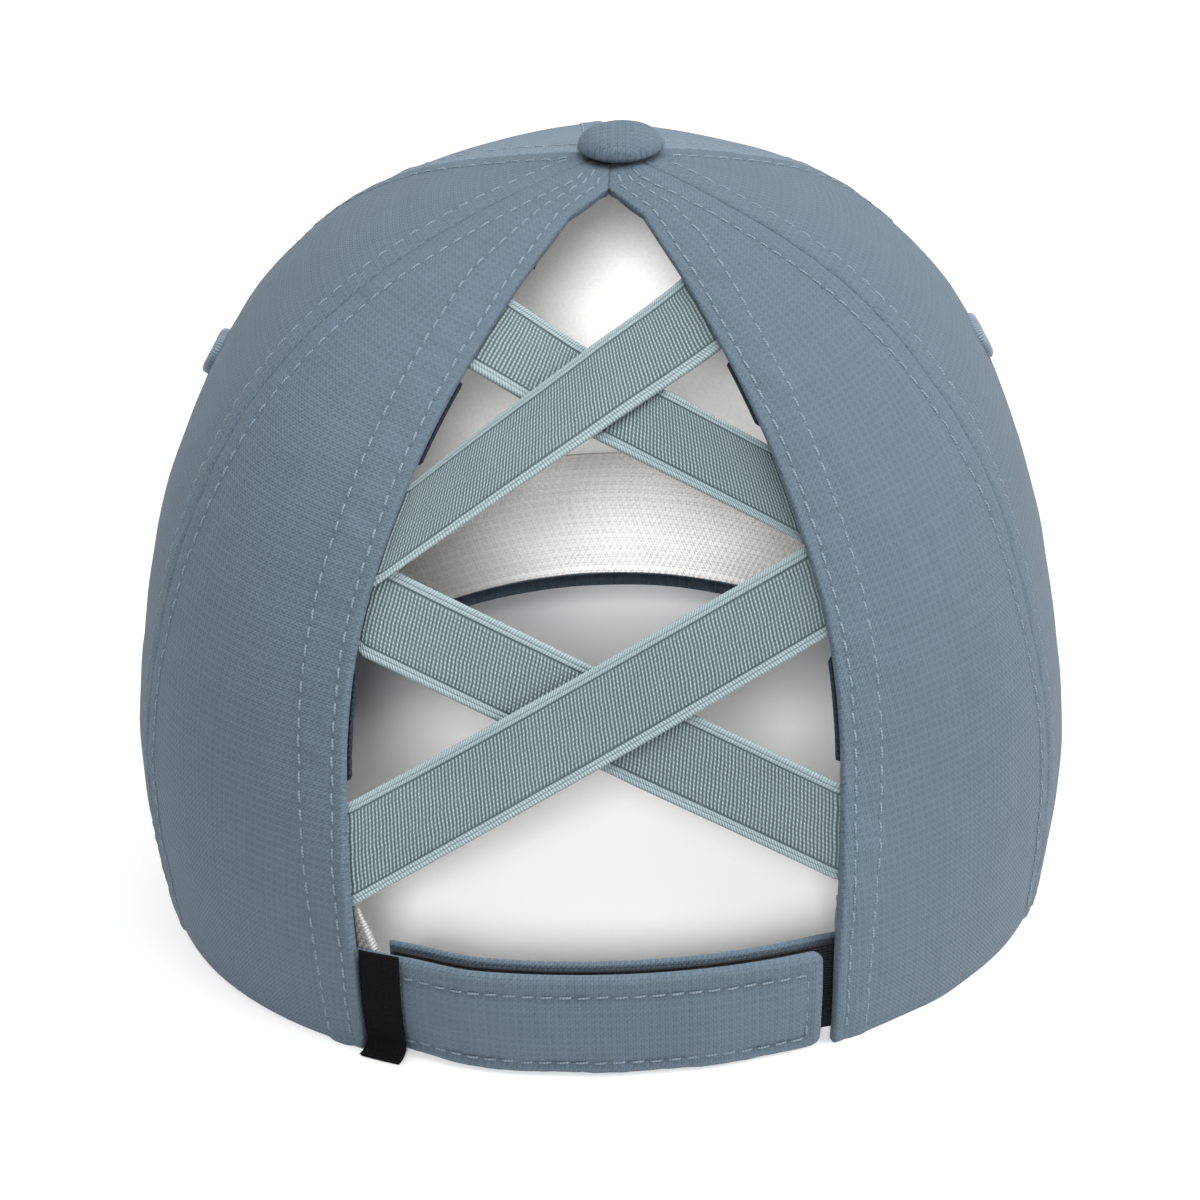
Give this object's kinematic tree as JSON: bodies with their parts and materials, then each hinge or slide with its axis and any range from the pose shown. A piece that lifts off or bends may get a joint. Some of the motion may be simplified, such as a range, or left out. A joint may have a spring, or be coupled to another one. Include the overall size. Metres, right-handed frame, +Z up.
{
  "type": "ponytail baseball cap",
  "caption": "Soft baseball cap with an open back crossed by elastic bands, an adjustable rim tab, a curved peak and a covered button.",
  "frame": {"origin": "bottom centre of the whole cap as it rests, on the table under its middle", "axes": "+Z up, +Y towards the open back, -Y towards the peak, +X towards the wearer's left"},
  "size_m": [0.1724, 0.2596, 0.1389],
  "materials": {
    "shell": "light ripstop polyester weave, dull",
    "elastic": "ribbed woven elastic with selvage lines",
    "binding": "fine twill tape",
    "sweatband": "knitted wicking cloth",
    "loop_tape": "brushed loop pile",
    "thread": "satin embroidery thread",
    "label": "smooth woven tape"
  },
  "bodies": {
    "root": {"panel_front_left": "shell", "panel_front_right": "shell", "panel_side_left": "shell", "panel_side_right": "shell", "panel_back_left": "shell", "panel_back_right": "shell", "peak": "shell", "button": "shell", "closure_tab": "shell", "closure_strap": "shell", "closure_loop": "loop_tape", "sweatband": "sweatband", "hem_tape_left": "binding", "hem_tape_right": "binding", "elastic_upper_over": "elastic", "elastic_upper_under": "elastic", "elastic_lower_over": "elastic", "elastic_lower_under": "elastic", "eyelet_left": "thread", "eyelet_right": "thread", "label": "label"}
  },
  "joints": []
}
